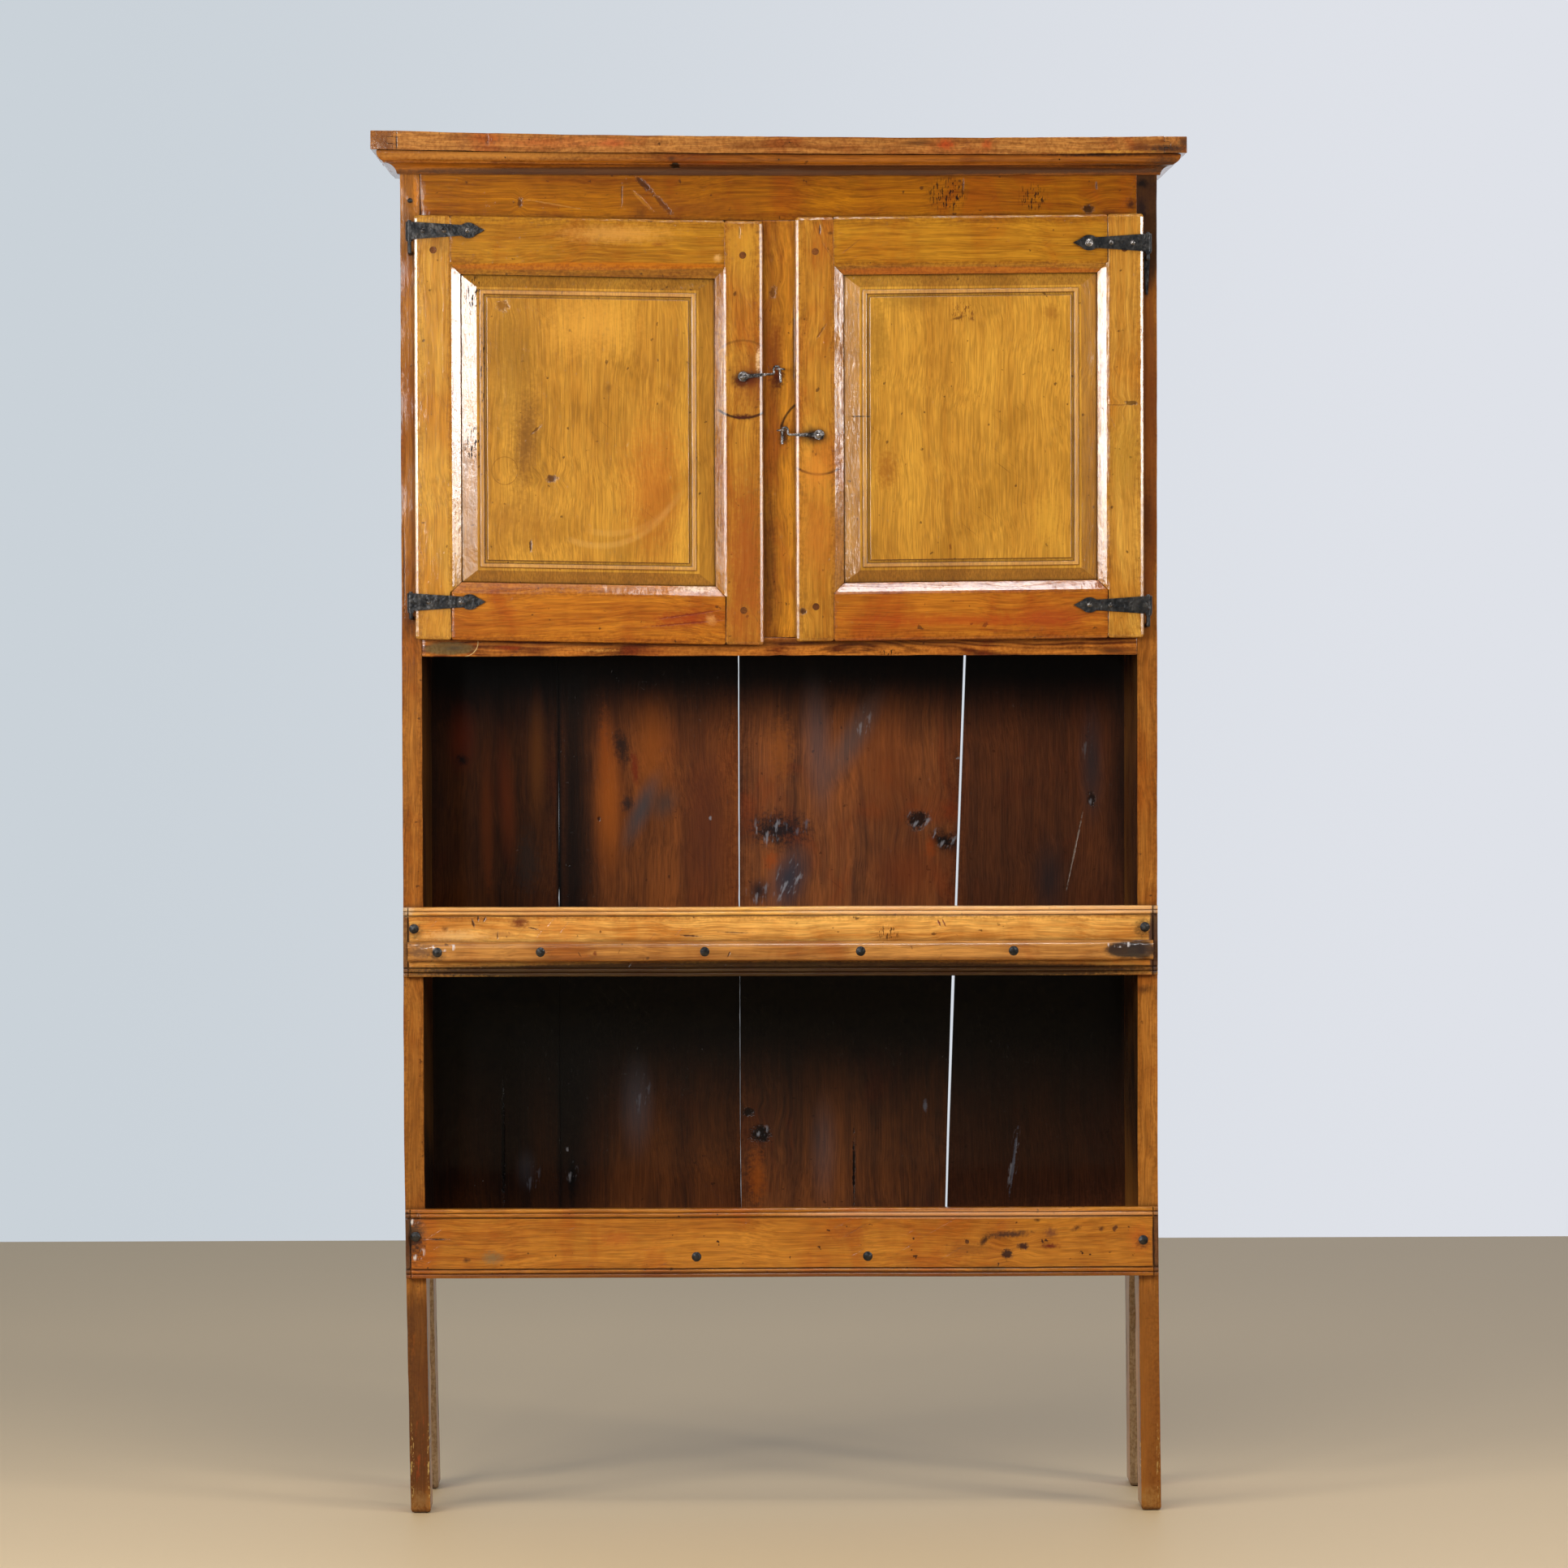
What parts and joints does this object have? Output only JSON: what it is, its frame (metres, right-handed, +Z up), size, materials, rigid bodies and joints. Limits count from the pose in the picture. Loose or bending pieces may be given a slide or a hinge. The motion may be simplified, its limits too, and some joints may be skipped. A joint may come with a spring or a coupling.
{
  "type": "court cupboard",
  "caption": "Rustic wooden cupboard: panelled doors on strap hinges with hook latches, over open shelves with beaded front rails, between plank sides cut out as feet.",
  "frame": {"origin": "on the floor, under the middle of the whole cupboard", "axes": "+Z up, +X to the right of someone facing the doors, -Y out of the front"},
  "size_m": [1.057, 0.337, 1.8],
  "materials": {
    "door_wood": "glossy",
    "carcase_wood": "glossy",
    "rail_wood": "glossy",
    "back_wood": "satin",
    "peg_wood": "satin",
    "iron": "matte"
  },
  "bodies": {
    "carcase": {"left_side": "carcase_wood", "right_side": "carcase_wood", "top_board": "carcase_wood", "top_batten_left": "carcase_wood", "top_batten_right": "carcase_wood", "cornice_front": "carcase_wood", "cornice_left": "carcase_wood", "cornice_right": "carcase_wood", "frieze_rail": "door_wood", "centre_muntin": "door_wood", "upper_shelf": "carcase_wood", "middle_shelf": "carcase_wood", "lower_shelf": "carcase_wood", "middle_rail": "rail_wood", "middle_rail_strip": "rail_wood", "lower_rail": "rail_wood", "back_plank_1": "back_wood", "back_plank_2": "back_wood", "back_plank_3": "back_wood", "back_plank_4": "back_wood", "middle_rail_nails": "iron", "strip_nails": "iron", "lower_rail_nails": "iron", "side_edge_nail": "iron", "top_nails": "iron", "side_nails": "iron", "back_nails": "iron", "cornice_brads": "iron", "left_upper_pintle": "iron", "left_lower_pintle": "iron", "right_upper_pintle": "iron", "right_lower_pintle": "iron", "upper_latch_eye": "iron", "lower_latch_eye": "iron"},
    "left_door": {"left_door_outer_stile": "door_wood", "left_door_meeting_stile": "door_wood", "left_door_top_rail": "door_wood", "left_door_bottom_rail": "door_wood", "left_door_panel": "door_wood", "left_door_pegs": "peg_wood", "left_door_upper_strap": "iron", "left_door_lower_strap": "iron", "left_door_strap_nails": "iron", "left_door_hook_pivot": "iron"},
    "right_door": {"right_door_outer_stile": "door_wood", "right_door_meeting_stile": "door_wood", "right_door_top_rail": "door_wood", "right_door_bottom_rail": "door_wood", "right_door_panel": "door_wood", "right_door_pegs": "peg_wood", "right_door_upper_strap": "iron", "right_door_lower_strap": "iron", "right_door_strap_nails": "iron", "right_door_hook_pivot": "iron"},
    "left_hook": {"left_hook": "iron"},
    "right_hook": {"right_hook": "iron"}
  },
  "joints": [
    {"name": "left_door_swing", "type": "hinge", "parent": "carcase", "child": "left_door", "pos_m": [-0.4785, -0.15154, 1.43], "axis": [0, 0, -1], "range_deg": [0, 170]},
    {"name": "right_door_swing", "type": "hinge", "parent": "carcase", "child": "right_door", "pos_m": [0.4785, -0.15154, 1.43], "axis": [0, 0, 1], "range_deg": [0, 170]},
    {"name": "left_hook_lift", "type": "hinge", "parent": "left_door", "child": "left_hook", "pos_m": [-0.047, -0.156, 1.48], "axis": [0, -1, 0], "range_deg": [0, 270]},
    {"name": "right_hook_lift", "type": "hinge", "parent": "right_door", "child": "right_hook", "pos_m": [0.0515, -0.156, 1.4045], "axis": [0, 1, 0], "range_deg": [0, 270]}
  ]
}
